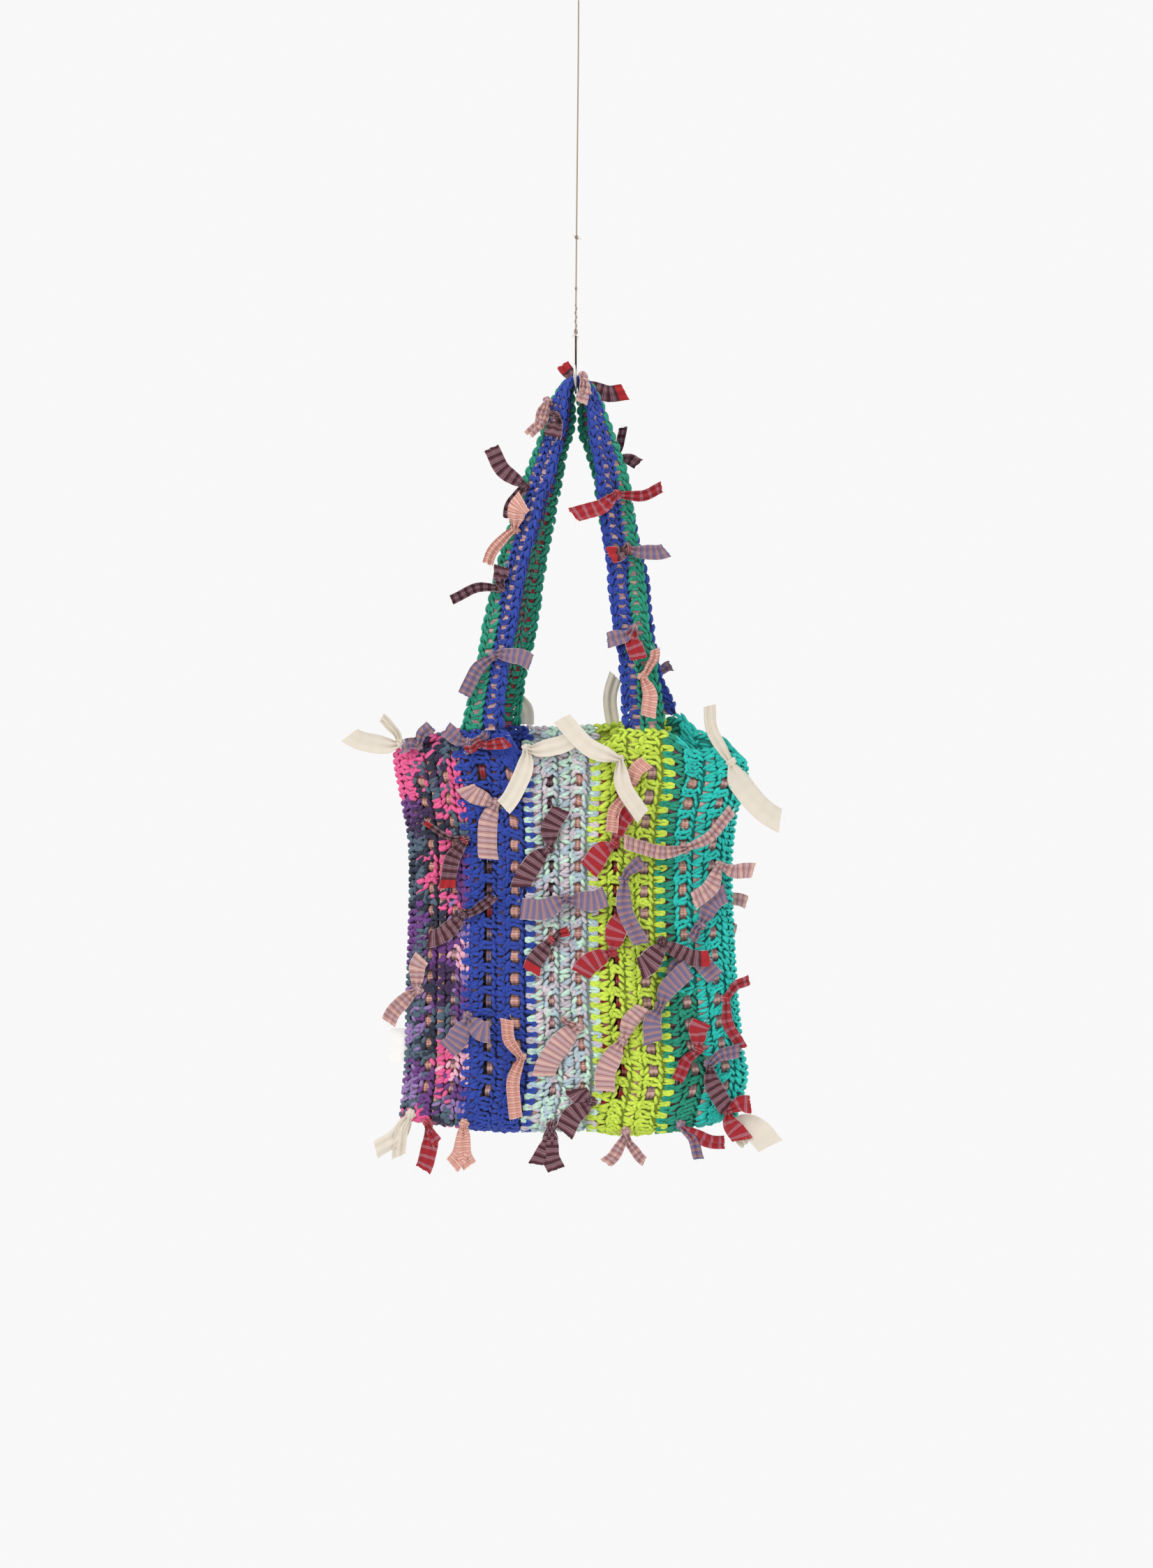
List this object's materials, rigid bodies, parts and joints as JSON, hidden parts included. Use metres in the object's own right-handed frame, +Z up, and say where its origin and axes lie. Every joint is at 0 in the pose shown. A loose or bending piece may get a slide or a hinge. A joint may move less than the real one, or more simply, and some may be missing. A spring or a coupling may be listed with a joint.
{
  "type": "crochet handbag on a hanging hook",
  "caption": "Flat crocheted handbag of striped colour bands with knotted cloth ties and strap handles, hung from a wire hook on a thread.",
  "frame": {"origin": "top of the loop that the hanging thread ends in", "axes": "+Z up along the hanging thread, -Y the bag's front, +X the viewer's right"},
  "size_m": [0.3949, 0.0682, 1.0549],
  "materials": {
    "yarn_variegated": "matt",
    "yarn_royal_blue": "matt",
    "yarn_pale_mint": "matt",
    "yarn_lime": "matt",
    "yarn_teal": "matt",
    "handle_yarn": "matt",
    "cotton_cloth": "matt",
    "steel_wire": "satin",
    "linen_thread": "matt",
    "white_tape": "matt"
  },
  "bodies": {
    "root": {"band_variegated": "yarn_variegated", "band_royal_blue": "yarn_royal_blue", "band_pale_mint": "yarn_pale_mint", "band_lime": "yarn_lime", "band_teal": "yarn_teal", "handle_front": "handle_yarn", "handle_back": "handle_yarn", "tie_strip_01": "cotton_cloth", "tie_strip_02": "cotton_cloth", "tie_strip_03": "cotton_cloth", "tie_strip_04": "cotton_cloth", "tie_strip_05": "cotton_cloth", "tie_strip_06": "cotton_cloth", "tie_strip_07": "cotton_cloth", "tie_strip_08": "cotton_cloth", "tie_strip_09": "cotton_cloth", "tie_strip_10": "cotton_cloth", "handle_strip_front": "cotton_cloth", "handle_strip_back": "cotton_cloth", "hanging_hook": "steel_wire", "hanging_thread": "linen_thread", "thread_loop": "linen_thread", "side_label": "white_tape"}
  },
  "joints": []
}
